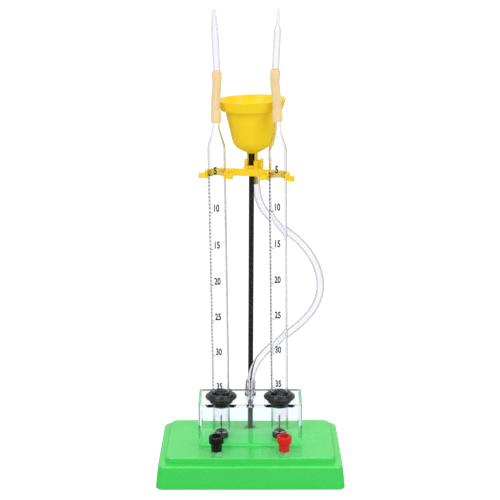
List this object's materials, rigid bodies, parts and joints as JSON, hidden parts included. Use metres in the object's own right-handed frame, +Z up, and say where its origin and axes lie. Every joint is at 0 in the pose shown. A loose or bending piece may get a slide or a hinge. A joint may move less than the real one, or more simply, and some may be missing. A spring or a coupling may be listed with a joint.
{
  "type": "water electrolysis apparatus",
  "caption": "Classroom water electrolysis apparatus: clear tank on a base, two graduated gas tubes with tips, a filling funnel on a rod, a hose and two terminal posts.",
  "frame": {"origin": "middle of the base's underside", "axes": "+X to the right with the posts in front, +Y away from the viewer, +Z up along the tubes"},
  "size_m": [0.174, 0.1074, 0.4288],
  "materials": {
    "green_plastic": "satin",
    "dark_plastic": "matt",
    "clear_plastic": "polished clear plastic",
    "black_rubber": "matt",
    "glass": "polished",
    "clear_hose": "soft clear plastic",
    "latex": "matt",
    "yellow_plastic": "satin",
    "black_rod": "satin black",
    "white_nylon": "translucent",
    "bright_metal": "plated",
    "brass": "turned",
    "carbon": "drawn rod",
    "black_plastic": "satin",
    "red_plastic": "satin"
  },
  "bodies": {
    "root": {"base_shell": "green_plastic", "base_bottom_plate": "dark_plastic", "base_screws": "bright_metal", "tank_body": "clear_plastic", "tank_lid": "clear_plastic", "hose_nipple": "clear_plastic", "supply_hose": "clear_hose", "support_rod": "black_rod", "rod_washer": "white_nylon", "rod_nut": "bright_metal", "left_grommet": "black_rubber", "left_electrode": "carbon", "left_electrode_plug": "black_rubber", "left_electrode_nut": "brass", "right_grommet": "black_rubber", "right_electrode": "carbon", "right_electrode_plug": "black_rubber", "right_electrode_nut": "brass", "black_post_stud": "brass", "black_post_seat": "bright_metal", "black_post_nut": "brass", "black_lead": "black_plastic", "red_post_stud": "brass", "red_post_seat": "bright_metal", "red_post_nut": "brass", "red_lead": "red_plastic"},
    "funnel": {"funnel": "yellow_plastic"},
    "clip_bar": {"clip_bar": "yellow_plastic"},
    "left_tube": {"left_gas_tube": "glass", "left_latex_sleeve": "latex"},
    "left_tip": {"left_glass_tip": "glass"},
    "right_tube": {"right_gas_tube": "glass", "right_latex_sleeve": "latex"},
    "right_tip": {"right_glass_tip": "glass"},
    "black_insert": {"black_post_insert": "brass"},
    "black_cap": {"black_post_cap": "black_plastic"},
    "red_insert": {"red_post_insert": "brass"},
    "red_cap": {"red_post_cap": "red_plastic"}
  },
  "joints": [
    {"name": "funnel_lift", "type": "slide", "parent": "root", "child": "funnel", "axis": [0.0061, 0, 1], "range_m": [0, 0.022], "deforming": ["supply_hose"]},
    {"name": "clip_bar_slide", "type": "slide", "parent": "root", "child": "clip_bar", "axis": [0.0061, 0, 1], "range_m": [-0.01, 0]},
    {"name": "left_tube_slide", "type": "slide", "parent": "root", "child": "left_tube", "axis": [-0.0093, 0.022, 0.9997], "range_m": [-0.001, 0.02]},
    {"name": "left_tip_bend", "type": "hinge", "parent": "left_tube", "child": "left_tip", "pos_m": [-0.02924, 0.00681, 0.35608], "axis": [0, 1, 0], "range_deg": [-20, 20], "stiffness_Nm_per_rad": 0.01, "deforming": ["left_latex_sleeve"]},
    {"name": "right_tube_slide", "type": "slide", "parent": "root", "child": "right_tube", "axis": [-0.0126, -0.0191, 0.9997], "range_m": [-0.001, 0.02]},
    {"name": "right_tip_bend", "type": "hinge", "parent": "right_tube", "child": "right_tip", "pos_m": [0.02285, -0.00498, 0.35605], "axis": [0, 1, 0], "range_deg": [-20, 20], "stiffness_Nm_per_rad": 0.01, "deforming": ["right_latex_sleeve"]},
    {"name": "black_cap_rise", "type": "slide", "parent": "root", "child": "black_insert", "axis": [0, 0, 1], "range_m": [0, 0.003]},
    {"name": "black_cap_turn", "type": "hinge", "parent": "black_insert", "child": "black_cap", "pos_m": [-0.0313, -0.031, 0.036], "axis": [0, 0, 1], "range_deg": [0, 1080.5]},
    {"name": "red_cap_rise", "type": "slide", "parent": "root", "child": "red_insert", "axis": [0, 0, 1], "range_m": [0, 0.003]},
    {"name": "red_cap_turn", "type": "hinge", "parent": "red_insert", "child": "red_cap", "pos_m": [0.0313, -0.031, 0.036], "axis": [0, 0, 1], "range_deg": [0, 1080.5]}
  ],
  "couplings": [
    {"joint": "black_cap_turn", "follows": "black_cap_rise", "rad_per_m": 6283.2},
    {"joint": "red_cap_turn", "follows": "red_cap_rise", "rad_per_m": 6283.2}
  ]
}
